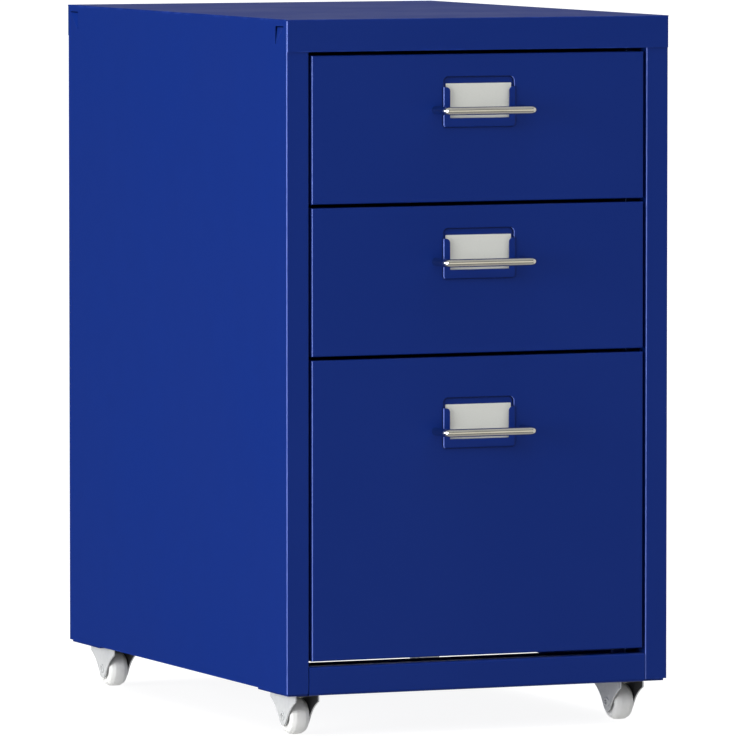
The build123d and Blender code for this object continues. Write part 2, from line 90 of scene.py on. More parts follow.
# name, bearing to the left of the front, distance, height, size, power
soft_lights = (
    ("key_light", radians(76), 3.2, 0.75, (2.6, 1.4), 88),
    ("front_light", radians(30), 3.2, 1.7, (1.6, 0.8), 9),
    ("mirrored_panel", radians(64), 3.2, 0.6, (1.5, 2.6), 110),
)
panel_tint = (0.80, 0.92, 1.0)
white = (1.0, 1.0, 1.0, 1.0)
floor_light = (0.32, 0.32, 0.32, 1.0)
floor_dark = (0.28, 0.28, 0.28, 1.0)
floor_shadowed = (0.20, 0.20, 0.20, 1.0)
floor_bounce = 0.36
floor_glow = 0.92
floor_width = 90.0
floor_drop = 0.2 * mm


def place(tree, kind, sources=None, **options):
    """Adds a node, sets its options, and fills its inputs with values or with links from sockets."""
    node = tree.nodes.new(kind)
    for option, value in options.items():
        setattr(node, option, value)
    for socket, source in (sources or {}).items():
        if isinstance(source, bpy.types.NodeSocket):
            tree.links.new(source, node.inputs[socket])
        else:
            node.inputs[socket].default_value = source
    return node


def figure(tree, operation, first, second=0.0):
    """Adds a math node and returns its result."""
    return place(tree, "ShaderNodeMath", {0: first, 1: second}, operation=operation).outputs[0]


def fade(tree, value, start, end, low=0.0, high=1.0):
    """Returns a smooth step of a value between two limits."""
    sources = {"Value": value, "From Min": start, "From Max": end, "To Min": low, "To Max": high}
    return place(tree, "ShaderNodeMapRange", sources, interpolation_type="SMOOTHSTEP").outputs["Result"]


def mixed(tree, amount, first, second):
    """Mixes two colours and returns the result."""
    factor_socket, first_socket, second_socket, result_socket = 0, 6, 7, 2
    sources = {factor_socket: amount, first_socket: first, second_socket: second}
    return place(tree, "ShaderNodeMix", sources, data_type="RGBA").outputs[result_socket]


world = bpy.data.worlds.new("studio")
scene.world = world
world.use_nodes = True
tree = world.node_tree
rays = place(tree, "ShaderNodeLightPath")
heading = place(tree, "ShaderNodeTexCoord").outputs["Generated"]
part = place(tree, "ShaderNodeSeparateXYZ", {0: heading})
ahead = place(tree, "ShaderNodeVectorMath", {0: heading, 1: look}, operation="DOT_PRODUCT").outputs["Value"]
below = fade(tree, part.outputs["Z"], 0.02, -0.03)
behind = fade(tree, ahead, 0.84, 0.95)
backdrop = figure(tree, "MULTIPLY", behind, below)
edge_glow = fade(tree, ahead, 0.82, 0.94, room_level, backdrop_edge_level)
front = fade(tree, part.outputs["Y"], -0.45, -0.75)
band = fade(tree, figure(tree, "ABSOLUTE", figure(tree, "ADD", part.outputs["Z"], 0.02)), 0.34, 0.24)
wall = mixed(tree, fade(tree, part.outputs["Z"], -0.03, 0.03), front_low, front_high)
room = mixed(tree, front, edge_glow, mixed(tree, band, wall, front_band))
room = mixed(tree, fade(tree, part.outputs["X"], 0.72, 0.84), room, right_wall)
room = mixed(tree, fade(tree, part.outputs["Z"], 0.48, 0.60), room, overhead)
room = mixed(tree, fade(tree, part.outputs["Z"], -0.48, -0.60), room, underfoot)
mirrored = mixed(tree, backdrop, room, white)
mirror_ray = figure(tree, "MAXIMUM", rays.outputs["Is Glossy Ray"], rays.outputs["Is Transmission Ray"])
upward = figure(tree, "MAXIMUM", part.outputs["Z"], 0.0)
glow = figure(tree, "MULTIPLY", figure(tree, "POWER", upward, 3.0), ceiling_level)
unseen = mixed(tree, mirror_ray, glow, mirrored)
seen = mixed(tree, rays.outputs["Is Camera Ray"], unseen, white)
tree.links.new(seen, tree.nodes["Background"].inputs["Color"])

object_middle = (cad_box[0] + cad_box[1]) / 2
for name, bearing, distance, height, size, power in soft_lights:
    light = bpy.data.objects.new(name, bpy.data.lights.new(name, "AREA"))
    light.data.energy = power
    light.data.shape = "RECTANGLE"
    light.data.size, light.data.size_y = size
    light.location = (-sin(bearing) * distance, -cos(bearing) * distance, height)
    light.rotation_euler = (light.location - object_middle).to_track_quat("Z", "Y").to_euler()
    scene.collection.objects.link(light)
panel = bpy.data.objects["mirrored_panel"]
panel.data.color = panel_tint
panel.visible_diffuse = False
bpy.data.objects["front_light"].visible_glossy = False
panel.data.cycles.max_bounces = 0

half_floor = floor_width / 2
floor_mesh = bpy.data.meshes.new("floor")
floor_signs = ((-1, -1), (1, -1), (1, 1), (-1, 1))
floor_corners = [(x * half_floor, y * half_floor, -floor_drop) for x, y in floor_signs]
floor_mesh.from_pydata(floor_corners, [], [(0, 1, 2, 3)])
floor = bpy.data.objects.new("floor", floor_mesh)
scene.collection.objects.link(floor)
floor_paint = bpy.data.materials.new("pale_floor")
floor_paint.use_nodes = True
tree = floor_paint.node_tree
tree.nodes.clear()
rays = place(tree, "ShaderNodeLightPath")
spot = place(tree, "ShaderNodeTexCoord").outputs["Object"]
grain = place(tree, "ShaderNodeTexNoise", {"Vector": spot, "Scale": 40.0}).outputs["Fac"]
pale = mixed(tree, grain, floor_dark, floor_light)
pale_share = place(tree, "ShaderNodeBsdfDiffuse", {"Color": pale}).outputs[0]
bounce = place(tree, "ShaderNodeEmission", {"Color": white, "Strength": floor_bounce}).outputs[0]
lit = place(tree, "ShaderNodeAddShader", {0: pale_share, 1: bounce}).outputs[0]
shadow_share = place(tree, "ShaderNodeBsdfDiffuse", {"Color": floor_shadowed}).outputs[0]
shining = place(tree, "ShaderNodeEmission", {"Color": white, "Strength": floor_glow}).outputs[0]
bright = place(tree, "ShaderNodeAddShader", {0: shadow_share, 1: shining}).outputs[0]
clear = place(tree, "ShaderNodeBsdfTransparent").outputs[0]
by_camera = {0: rays.outputs["Is Camera Ray"], 1: lit, 2: bright}
surface = place(tree, "ShaderNodeMixShader", by_camera).outputs[0]
mirror_ray = figure(tree, "MAXIMUM", rays.outputs["Is Glossy Ray"], rays.outputs["Is Transmission Ray"])
surface = place(tree, "ShaderNodeMixShader", {0: mirror_ray, 1: surface, 2: clear}).outputs[0]
place(tree, "ShaderNodeOutputMaterial", {"Surface": surface})
floor_mesh.materials.append(floor_paint)

# Cabinet shell: cover, side panels, back and base rails of 0.9 mm sheet steel, folded and welded.
# Powder coated deep blue after welding, a little uneven like orange skin.
blue = (0.0026, 0.0228, 0.193, 1.0)
blue_deep = (0.0022, 0.0200, 0.176, 1.0)
blue_rubbed = (0.020, 0.055, 0.300, 1.0)
# near-black blue, painted as shade into creases
blue_crease_shade = (0.0003, 0.0015, 0.016, 1.0)
# paler blue painted on folds that face left, as a highlight
blue_fold_highlight = (0.12, 0.18, 0.56, 1.0)
blue_dust = (0.30, 0.31, 0.33, 1.0)
paint_shine = 0.13
crease_depth = 2.6 * mm
paint_roughness = (0.30, 0.40)
peel_size = 1.6 * mm
peel_height = 0.02 * mm
rub_width = 1.2 * mm


def shader_group(name, inputs, outputs):
    """Starts a shader node group with named sockets and returns its tree and both its ends."""
    group = bpy.data.node_groups.new(name, "ShaderNodeTree")
    for socket, kind, value in inputs:
        made = group.interface.new_socket(socket, in_out="INPUT", socket_type=kind)
        made.default_value = value
    for socket, kind in outputs:
        group.interface.new_socket(socket, in_out="OUTPUT", socket_type=kind)
    return group, group.nodes.new("NodeGroupInput"), group.nodes.new("NodeGroupOutput")


# the fine unevenness of a sprayed or moulded skin, and a slow drift of its tone
skin, given, result = shader_group(
    "uneven_skin",
    [("Grain Scale", "NodeSocketFloat", 600.0), ("Drift Scale", "NodeSocketFloat", 7.0)],
    [("Height", "NodeSocketFloat"), ("Drift", "NodeSocketFloat")],
)
spot = place(skin, "ShaderNodeTexCoord").outputs["Object"]
fine = {"Vector": spot, "Scale": given.outputs["Grain Scale"], "Detail": 1.0, "Roughness": 0.4}
slow = {"Vector": spot, "Scale": given.outputs["Drift Scale"], "Detail": 3.0, "Roughness": 0.55}
skin.links.new(place(skin, "ShaderNodeTexNoise", fine).outputs["Fac"], result.inputs["Height"])
skin.links.new(place(skin, "ShaderNodeTexNoise", slow).outputs["Fac"], result.inputs["Drift"])

# how close a spot is to an edge of the piece's box, broken up as handling breaks up a finish
rub, given, result = shader_group(
    "edge_rub",
    [
        ("Low Corner", "NodeSocketVector", (0, 0, 0)),
        ("High Corner", "NodeSocketVector", (1, 1, 1)),
        ("Width", "NodeSocketFloat", 0.001),
    ],
    [("Rub", "NodeSocketFloat")],
)
spot = place(rub, "ShaderNodeTexCoord").outputs["Object"]
above_low = {0: spot, 1: given.outputs["Low Corner"]}
from_low = place(rub, "ShaderNodeVectorMath", above_low, operation="SUBTRACT").outputs[0]
under_high = {0: given.outputs["High Corner"], 1: spot}
from_high = place(rub, "ShaderNodeVectorMath", under_high, operation="SUBTRACT").outputs[0]
nearest = place(rub, "ShaderNodeVectorMath", {0: from_low, 1: from_high}, operation="MINIMUM")
gap = place(rub, "ShaderNodeSeparateXYZ", {0: nearest.outputs[0]})
near_two = figure(rub, "MAXIMUM", gap.outputs["X"], gap.outputs["Y"])
near_two = figure(rub, "MINIMUM", near_two, gap.outputs["Z"])
middle_gap = figure(rub, "MAXIMUM", near_two, figure(rub, "MINIMUM", gap.outputs["X"], gap.outputs["Y"]))
close = figure(rub, "SUBTRACT", 1.0, figure(rub, "DIVIDE", middle_gap, given.outputs["Width"]))
broken = place(rub, "ShaderNodeTexNoise", {"Vector": spot, "Scale": 90.0, "Detail": 4.0}).outputs["Fac"]
worn = figure(rub, "MULTIPLY", figure(rub, "MAXIMUM", close, 0.0), fade(rub, broken, 0.45, 0.70))
rub.links.new(worn, result.inputs["Rub"])

# fine dust that settles on what faces up
dust, given, result = shader_group(
    "settled_dust", [("Amount", "NodeSocketFloat", 0.1)], [("Dust", "NodeSocketFloat")]
)
spot = place(dust, "ShaderNodeTexCoord").outputs["Object"]
upward = place(dust, "ShaderNodeSeparateXYZ", {0: place(dust, "ShaderNodeNewGeometry").outputs["Normal"]})
patches = place(dust, "ShaderNodeTexNoise", {"Vector": spot, "Scale": 55.0, "Detail": 6.0}).outputs["Fac"]
facing_up = fade(dust, upward.outputs["Z"], 0.6, 1.0)
settled = figure(dust, "MULTIPLY", facing_up, fade(dust, patches, 0.35, 0.75))
settled = figure(dust, "MULTIPLY", settled, given.outputs["Amount"])
dust.links.new(settled, result.inputs["Dust"])

# painted highlight: folds that face left get a paler blue in the base colour, standing in for the bright
# reflections along these folds
fold, given, result = shader_group("thin_on_folds", [], [("Fold", "NodeSocketFloat")])
facing = place(fold, "ShaderNodeNewGeometry").outputs["Normal"]
leftward = fade(fold, place(fold, "ShaderNodeSeparateXYZ", {0: facing}).outputs["X"], -0.2, -0.5)
facing = place(fold, "ShaderNodeVectorMath", {0: facing}, operation="ABSOLUTE").outputs[0]
part = place(fold, "ShaderNodeSeparateXYZ", {0: facing})
flatness = figure(fold, "MAXIMUM", part.outputs["X"], part.outputs["Y"])
flatness = figure(fold, "MAXIMUM", flatness, part.outputs["Z"])
folded = figure(fold, "MULTIPLY", fade(fold, flatness, 0.97, 0.84), leftward)
fold.links.new(folded, result.inputs["Fold"])

# how deep a spot lies in a crease of its own piece; materials paint shade there and make the coat duller
crease, given, result = shader_group(
    "deep_crease", [("Depth", "NodeSocketFloat", 0.003)], [("Crease", "NodeSocketFloat")]
)
nearby = {"Distance": given.outputs["Depth"]}
open_share = place(crease, "ShaderNodeAmbientOcclusion", nearby, samples=6, only_local=True).outputs["AO"]
crease.links.new(fade(crease, open_share, 0.90, 0.50), result.inputs["Crease"])


def placed_group(tree, group, **values):
    """Places a node group in a material with its own values."""
    node = tree.nodes.new("ShaderNodeGroup")
    node.node_tree = group
    for socket, value in values.items():
        node.inputs[socket.replace("_", " ")].default_value = value
    return node


def new_finish(name):
    """Starts a material and returns it with its tree and its shader."""
    finish = bpy.data.materials.new(name)
    finish.use_nodes = True
    return finish, finish.node_tree, finish.node_tree.nodes["Principled BSDF"]


def bumped(tree, shader, height, distance, strength=1.0):
    """Feeds a height into the shader's normal through a bump."""
    bump = place(tree, "ShaderNodeBump", {"Height": height, "Distance": distance, "Strength": strength})
    tree.links.new(bump.outputs["Normal"], shader.inputs["Normal"])


def blue_powder_coat(node):
    """The cabinet's paint, with rubbed edges that follow the box of one piece."""
    low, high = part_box(node)
    finish, tree, shader = new_finish(f"blue_powder_coat_{node}")
    coat = placed_group(tree, skin, Grain_Scale=1 / peel_size, Drift_Scale=5.0)
    edge = placed_group(tree, rub, Low_Corner=low, High_Corner=high, Width=rub_width)
    dusty = placed_group(tree, dust, Amount=0.06)
    deep = placed_group(tree, crease, Depth=crease_depth)
    painted_light_mask = placed_group(tree, fold)
    colour = mixed(tree, coat.outputs["Drift"], blue, blue_deep)
    # painted highlight on the folds that face left
    colour = mixed(tree, painted_light_mask.outputs["Fold"], colour, blue_fold_highlight)
    colour = mixed(tree, figure(tree, "MULTIPLY", edge.outputs["Rub"], 0.6), colour, blue_rubbed)
    colour = mixed(tree, dusty.outputs["Dust"], colour, blue_dust)
    # painted shade in the piece's own creases
    colour = mixed(tree, deep.outputs["Crease"], colour, blue_crease_shade)
    tree.links.new(colour, shader.inputs["Base Color"])
    rough = fade(tree, coat.outputs["Drift"], 0.3, 0.7, *paint_roughness)
    rough = figure(tree, "MAXIMUM", rough, figure(tree, "MULTIPLY", deep.outputs["Crease"], 0.8))
    tree.links.new(rough, shader.inputs["Roughness"])
    shader.inputs["Specular IOR Level"].default_value = paint_shine
    bumped(tree, shader, coat.outputs["Height"], peel_height)
    return finish


def finish_node(node, finish):
    """Gives a CAD node its finish."""
    nodes[node].data.materials.clear()
    nodes[node].data.materials.append(finish)


shell = ("top_cover", "side_panel_left", "side_panel_right", "back_panel")
base_rails = ("front_base_rail", "rear_base_rail")
for node in shell + base_rails:
    finish_node(node, blue_powder_coat(node))

# Rivets: small domed heads of zinc-plated steel that hold the back panel to the rear flanges.
# Set from outside in two straight rows, one down each side.
zinc = (0.50, 0.51, 0.52, 1.0)
zinc_pale = (0.62, 0.63, 0.64, 1.0)
# near-black grey, painted as shade into creases and hollows
zinc_crease_shade = (0.06, 0.06, 0.065, 1.0)
zinc_dust = (0.40, 0.39, 0.37, 1.0)
zinc_crease_depth = 1.6 * mm
rivet_head_radius = 3.0 * mm
rivet_head_height = 0.9 * mm
rivet_count = 7
rivet_from_edge = 10.5 * mm
rivet_from_end = 45.0 * mm


def plated_zinc(name, tone, pale_tone, roughness, metallic, shine=0.5):
    """Zinc plate: soft grey with faint crystal patches and a little haze."""
    finish, tree, shader = new_finish(name)
    spot = place(tree, "ShaderNodeTexCoord").outputs["Object"]
    crystals = place(tree, "ShaderNodeTexVoronoi", {"Vector": spot, "Scale": 260.0}).outputs["Color"]
    crystal_tone = place(tree, "ShaderNodeSeparateColor", {0: crystals}).outputs[0]
    coat = placed_group(tree, skin, Grain_Scale=900.0, Drift_Scale=30.0)
    patchy = figure(tree, "ADD", figure(tree, "MULTIPLY", crystal_tone, 0.4), coat.outputs["Drift"])
    dusty = placed_group(tree, dust, Amount=0.08)
    colour = mixed(tree, fade(tree, patchy, 0.3, 1.0), tone, pale_tone)
    colour = mixed(tree, dusty.outputs["Dust"], colour, zinc_dust)
    # painted shade in the piece's own creases and hollows
    deep = placed_group(tree, crease, Depth=zinc_crease_depth)
    colour = mixed(tree, deep.outputs["Crease"], colour, zinc_crease_shade)
    tree.links.new(colour, shader.inputs["Base Color"])
    rough = fade(tree, patchy, 0.3, 1.1, roughness - 0.06, roughness + 0.06)
    tree.links.new(rough, shader.inputs["Roughness"])
    shader.inputs["Metallic"].default_value = metallic
    shader.inputs["Specular IOR Level"].default_value = shine
    bumped(tree, shader, coat.outputs["Height"], 0.01 * mm)
    return finish


def turned(name, profile, closed, steps=56):
    """A piece turned on a lathe about Z, from a profile of (radius, along) points."""
    shape = bmesh.new()
    rim = [shape.verts.new((radius, 0, along)) for radius, along in profile]
    pairs = list(zip(rim, rim[1:])) + ([(rim[-1], rim[0])] if closed else [])
    edges = [shape.edges.new(pair) for pair in pairs]
    bmesh.ops.spin(shape, geom=rim + edges, cent=(0, 0, 0), axis=(0, 0, 1), angle=2 * pi, steps=steps)
    bmesh.ops.remove_doubles(shape, verts=shape.verts, dist=0.001 * mm)
    bmesh.ops.recalc_face_normals(shape, faces=shape.faces)
    mesh = bpy.data.meshes.new(name)
    shape.to_mesh(mesh)
    shape.free()
    mesh.shade_smooth()
    mesh.set_sharp_from_angle(angle=radians(38))
    return mesh


def row_of_fasteners():
    """Geometry nodes that set a fastener at even steps along a line."""
    tree = bpy.data.node_groups.new("row_of_fasteners", "GeometryNodeTree")
    sockets = (
        ("Fastener", "NodeSocketObject"),
        ("Count", "NodeSocketInt"),
        ("Start", "NodeSocketVector"),
        ("Step", "NodeSocketVector"),
        ("Turn", "NodeSocketRotation"),
        ("Finish", "NodeSocketMaterial"),
    )
    for socket, kind in sockets:
        tree.interface.new_socket(socket, in_out="INPUT", socket_type=kind)
    tree.interface.new_socket("Geometry", in_out="OUTPUT", socket_type="NodeSocketGeometry")
    given = tree.nodes.new("NodeGroupInput").outputs
    line = {"Count": given["Count"], "Start Location": given["Start"], "Offset": given["Step"]}
    points = place(tree, "GeometryNodeMeshLine", line, mode="OFFSET").outputs["Mesh"]
    fastener = place(tree, "GeometryNodeObjectInfo", {"Object": given["Fastener"]}).outputs["Geometry"]
    each = {"Points": points, "Instance": fastener, "Rotation": given["Turn"]}
    copies = place(tree, "GeometryNodeInstanceOnPoints", each).outputs["Instances"]
    whole = place(tree, "GeometryNodeRealizeInstances", {"Geometry": copies}).outputs["Geometry"]
    finished = place(tree, "GeometryNodeSetMaterial", {"Geometry": whole, "Material": given["Finish"]})
    place(tree, "NodeGroupOutput", {"Geometry": finished.outputs["Geometry"]})
    return tree


def grown(name, tree, **values):
    """Runs a geometry tree with its own values and returns the result as a plain mesh object."""
    seed_mesh = bpy.data.meshes.new(name)
    seed_object = bpy.data.objects.new(name, seed_mesh)
    scene.collection.objects.link(seed_object)
    modifier = seed_object.modifiers.new("grown", "NODES")
    modifier.node_group = tree
    for item in tree.interface.items_tree:
        if item.in_out == "INPUT" and item.name.replace(" ", "_") in values:
            modifier[item.identifier] = values[item.name.replace(" ", "_")]
    ready = seed_object.evaluated_get(bpy.context.evaluated_depsgraph_get())
    mesh = bpy.data.meshes.new_from_object(ready)
    seed_object.modifiers.remove(modifier)
    seed_object.data = mesh
    mesh.name = name
    bpy.data.meshes.remove(seed_mesh)
    return seed_object


def joined(name, objects):
    """Joins plain mesh objects into one piece."""
    shape = bmesh.new()
    finishes = list(objects[0].data.materials)
    for piece in objects:
        shape.from_mesh(piece.data)
    mesh = bpy.data.meshes.new(name)
    shape.to_mesh(mesh)
    shape.free()
    for finish in finishes:
        mesh.materials.append(finish)
    for piece in objects:
        bpy.data.objects.remove(piece)
    whole = bpy.data.objects.new(name, mesh)
    scene.collection.objects.link(whole)
    return whole


fastener_row = row_of_fasteners()
zinc_plate = plated_zinc("zinc_plate", zinc, zinc_pale, 0.38, 0.9)
head = rivet_head_radius
rise = rivet_head_height
rivet_profile = [(0, rise), (0.45 * head, 0.93 * rise), (0.8 * head, 0.62 * rise)]
rivet_profile += [(0.97 * head, 0.2 * rise), (head, -0.05 * rise), (0, -0.05 * rise)]
rivet = bpy.data.objects.new("rivet", turned("rivet", rivet_profile, closed=False, steps=24))
panel_low, panel_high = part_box("side_panel_left")
rivet_rows = []
rivet_run = panel_high.z - panel_low.z - 2 * rivet_from_end
for side in (-1, 1):
    across = side * (-panel_low.x - rivet_from_edge)
    start = Vector((across, panel_high.y, panel_low.z + rivet_from_end))
    rivet_rows.append(
        grown(
            "rivet_row",
            fastener_row,
            Fastener=rivet,
            Count=rivet_count,
            Start=start,
            Step=Vector((0, 0, rivet_run / (rivet_count - 1))),
            Turn=(radians(-90), 0, 0),
            Finish=zinc_plate,
        )
    )
bpy.data.objects.remove(rivet)
back_rivets = joined("back_rivets", rivet_rows)
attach(back_rivets, "cabinet")

# Slides and their uprights: rolled channels of zinc-plated steel, with caged balls between them.
# The uprights are welded inside the side panels and painted with them; the channels are fixed to them.
for node in nodes:
    if node.startswith("slide_upright_"):
        finish_node(node, blue_powder_coat(node))
    elif node.startswith(("slide_", "ball_cage_", "caster_kingpins", "swivel_washers")):
        finish_node(node, zinc_plate)

# Drawer trays: folded boxes of thinner sheet, in the same blue powder coat as the cabinet.
# Their upper edges are hemmed inwards so that no cut edge is left to catch a hand.
drawers = ("top", "middle", "bottom")
for drawer in drawers:
    finish_node(f"drawer_tray_{drawer}", blue_powder_coat(f"drawer_tray_{drawer}"))

# Drawer fronts: shallow pressed pans with a sunk label pocket and a raised frame round it.
# Pressed from the same sheet and powder coated with the cabinet.
for drawer in drawers:
    finish_node(f"drawer_front_{drawer}", blue_powder_coat(f"drawer_front_{drawer}"))

# Label cards: plain off-white card, cut square and slipped in from above.
# Bare, with the faint fibres of uncoated board.
card_white = (0.74, 0.75, 0.71, 1.0)
card_shade = (0.69, 0.70, 0.66, 1.0)
label_card, tree, shader = new_finish("label_card")
spot = place(tree, "ShaderNodeTexCoord").outputs["Object"]
along_fibres = place(tree, "ShaderNodeMapping", {"Vector": spot, "Scale": (1.0, 1.0, 6.0)}).outputs[0]
fibre = {"Vector": along_fibres, "Scale": 900.0, "Detail": 4.0, "Distortion": 0.6}
fibres = place(tree, "ShaderNodeTexNoise", fibre).outputs["Fac"]
colour = mixed(tree, fade(tree, fibres, 0.3, 0.7), card_shade, card_white)
tree.links.new(colour, shader.inputs["Base Color"])
tree.links.new(fade(tree, fibres, 0.2, 0.8, 0.72, 0.88), shader.inputs["Roughness"])
shader.inputs["Specular IOR Level"].default_value = 0.2
bumped(tree, shader, fibres, 0.02 * mm)
for drawer in drawers:
    finish_node(f"label_card_{drawer}", label_card)

# Handles: bows of round steel rod, bent at both ends and screwed on from inside the drawer front.
# Ground and polished lengthwise, then left bright.
rod_bright = (0.72, 0.71, 0.67, 1.0)
rod_dull = (0.60, 0.59, 0.55, 1.0)
rod_bend = 4.5 * mm


def bow_handle():
    """Geometry nodes that sweep a round rod along a bow with two bends."""
    tree = bpy.data.node_groups.new("bow_handle", "GeometryNodeTree")
    sockets = (
        ("Centres", "NodeSocketFloat"),
        ("Standoff", "NodeSocketFloat"),
        ("Bend Radius", "NodeSocketFloat"),
        ("Rod Diameter", "NodeSocketFloat"),
        ("Middle", "NodeSocketVector"),
        ("Finish", "NodeSocketMaterial"),
    )
    for socket, kind in sockets:
        tree.interface.new_socket(socket, in_out="INPUT", socket_type=kind)
    tree.interface.new_socket("Geometry", in_out="OUTPUT", socket_type="NodeSocketGeometry")
    given = tree.nodes.new("NodeGroupInput").outputs
    half = figure(tree, "MULTIPLY", given["Centres"], 0.5)
    other_half = figure(tree, "MULTIPLY", given["Centres"], -0.5)
    out = figure(tree, "MULTIPLY", given["Standoff"], -1.0)
    corners = {}
    bow_points = ((other_half, 0.0), (other_half, out), (half, out), (half, 0.0))
    for number, (across, away) in enumerate(bow_points, 1):
        corners[f"Point {number}"] = place(tree, "ShaderNodeCombineXYZ", {"X": across, "Y": away}).outputs[0]
    outline = place(tree, "GeometryNodeCurvePrimitiveQuadrilateral", corners, mode="POINTS").outputs["Curve"]
    opened = {"Geometry": outline, "Cyclic": False}
    bow = place(tree, "GeometryNodeSetSplineCyclic", opened).outputs["Geometry"]
    bends = {"Curve": bow, "Radius": given["Bend Radius"], "Count": 14}
    bent = place(tree, "GeometryNodeFilletCurve", bends, mode="POLY").outputs["Curve"]
    rod_radius = figure(tree, "MULTIPLY", given["Rod Diameter"], 0.5)
    ring = place(tree, "GeometryNodeCurvePrimitiveCircle", {"Resolution": 40, "Radius": rod_radius})
    swept = {"Curve": bent, "Profile Curve": ring.outputs["Curve"], "Fill Caps": True}
    rod = place(tree, "GeometryNodeCurveToMesh", swept).outputs["Mesh"]
    moved = place(tree, "GeometryNodeTransform", {"Geometry": rod, "Translation": given["Middle"]})
    whole = place(tree, "GeometryNodeRealizeInstances", {"Geometry": moved.outputs["Geometry"]})
    finished = {"Geometry": whole.outputs["Geometry"], "Material": given["Finish"]}
    last = place(tree, "GeometryNodeSetMaterial", finished)
    place(tree, "NodeGroupOutput", {"Geometry": last.outputs["Geometry"]})
    return tree


polished_rod, tree, shader = new_finish("polished_rod")
spot = place(tree, "ShaderNodeTexCoord").outputs["Object"]
stretched = place(tree, "ShaderNodeMapping", {"Vector": spot, "Scale": (12.0, 300.0, 900.0)}).outputs[0]
lines = place(tree, "ShaderNodeTexNoise", {"Vector": stretched, "Scale": 4.0, "Detail": 3.0}).outputs["Fac"]
coat = placed_group(tree, skin, Grain_Scale=500.0, Drift_Scale=40.0)
colour = mixed(tree, fade(tree, lines, 0.35, 0.7), rod_bright, rod_dull)
tree.links.new(colour, shader.inputs["Base Color"])
tree.links.new(fade(tree, coat.outputs["Drift"], 0.3, 0.7, 0.08, 0.13), shader.inputs["Roughness"])
shader.inputs["Metallic"].default_value = 1.0
bumped(tree, shader, lines, 0.004 * mm)
handle_tree = bow_handle()
for drawer in drawers:
    low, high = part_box(f"drawer_handle_{drawer}")
    rod = high.z - low.z
    handle = grown(
        f"bow_handle_{drawer}",
        handle_tree,
        Centres=high.x - low.x - rod,
        Standoff=high.y - low.y - rod / 2,
        Bend_Radius=rod_bend,
        Rod_Diameter=rod,
        Middle=Vector(((low.x + high.x) / 2, high.y, (low.z + high.z) / 2)),
        Finish=polished_rod,
    )
    handle.data.shade_smooth()
    handle.data.set_sharp_from_angle(angle=radians(50))
    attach(handle, f"drawer_{drawer}")
    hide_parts(f"drawer_handle_{drawer}")

# Handle screws: zinc-plated pan heads with a cross recess, driven from inside the drawer front.
# Two to each handle, straight into the threaded feet of the rod.
screw_head_height = 2.6 * mm
screw_shank = 2.0 * mm
thread_turns = 12
recess_depth = 1.3 * mm
recess_reach = 2.2 * mm
recess_width = 0.9 * mm
screw_low, screw_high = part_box("handle_screws_top")
handle_low, handle_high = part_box("drawer_handle_top")
screw_centres = handle_high.x - handle_low.x - (handle_high.z - handle_low.z)
screw_head = (screw_high.x - screw_low.x - screw_centres) / 2
head_under = screw_high.y - screw_head_height
head_height = screw_high.y - head_under
shank_length = head_under - screw_low.y
pan_profile = [(0, head_height), (0.55 * screw_head, 0.96 * head_height)]
pan_profile += [(0.86 * screw_head, 0.75 * head_height), (screw_head, 0.4 * head_height)]
pan_profile += [(screw_head, 0.04 * head_height), (0.97 * screw_head, 0), (screw_shank, 0)]
for turn in range(thread_turns):
    crest = -shank_length * (turn + 0.5) / thread_turns
    root = -shank_length * (turn + 1) / thread_turns
    pan_profile += [(screw_shank, crest), (0.85 * screw_shank, root)]
pan_profile += [(0, -shank_length)]
screw_mesh = turned("pan_head_screw", pan_profile, closed=False, steps=32)
screw = bpy.data.objects.new("pan_head_screw", screw_mesh)
scene.collection.objects.link(screw)
recess = bmesh.new()
for length, width in ((recess_reach, recess_width), (recess_width, recess_reach)):
    size = Matrix.Diagonal((2 * length, 2 * width, 2 * recess_depth, 1))
    bmesh.ops.create_cube(recess, size=1, matrix=Matrix.Translation((0, 0, head_height)) @ size)
cutter_mesh = bpy.data.meshes.new("recess_cutter")
recess.to_mesh(cutter_mesh)
recess.free()
cutter = bpy.data.objects.new("recess_cutter", cutter_mesh)
scene.collection.objects.link(cutter)
cut = screw.modifiers.new("recess", "BOOLEAN")
cut.object = cutter
cut.use_self = True
ready = screw.evaluated_get(bpy.context.evaluated_depsgraph_get())
recessed = bpy.data.meshes.new_from_object(ready)
screw.modifiers.remove(cut)
screw.data = recessed
bpy.data.objects.remove(cutter)
for drawer in drawers:
    low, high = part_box(f"handle_screws_{drawer}")
    screws = grown(
        f"pan_head_screws_{drawer}",
        fastener_row,
        Fastener=screw,
        Count=2,
        Start=Vector((-screw_centres / 2, head_under, (low.z + high.z) / 2)),
        Step=Vector((screw_centres, 0, 0)),
        Turn=(radians(-90), 0, 0),
        Finish=zinc_plate,
    )
    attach(screws, f"drawer_{drawer}")
    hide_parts(f"handle_screws_{drawer}")
bpy.data.objects.remove(screw)

# Caster forks: bent from steel strip, with hollowed cheeks and a rolled top, bright zinc plated.
# Each turns on its kingpin under the base rail. Between the cheeks the faces are painted near black as
# shade.
fork_grey = (0.60, 0.61, 0.61, 1.0)
fork_pale = (0.66, 0.67, 0.67, 1.0)
fork_inside_shade = (0.05, 0.05, 0.055, 1.0)
fork_roughness = 0.5
fork_metallic = 0.02
fork_shine = 0.2
fork_sheet = 1.5 * mm
fork_edge_round = 0.35 * mm
casters = ("front_left", "front_right", "rear_left", "rear_right")


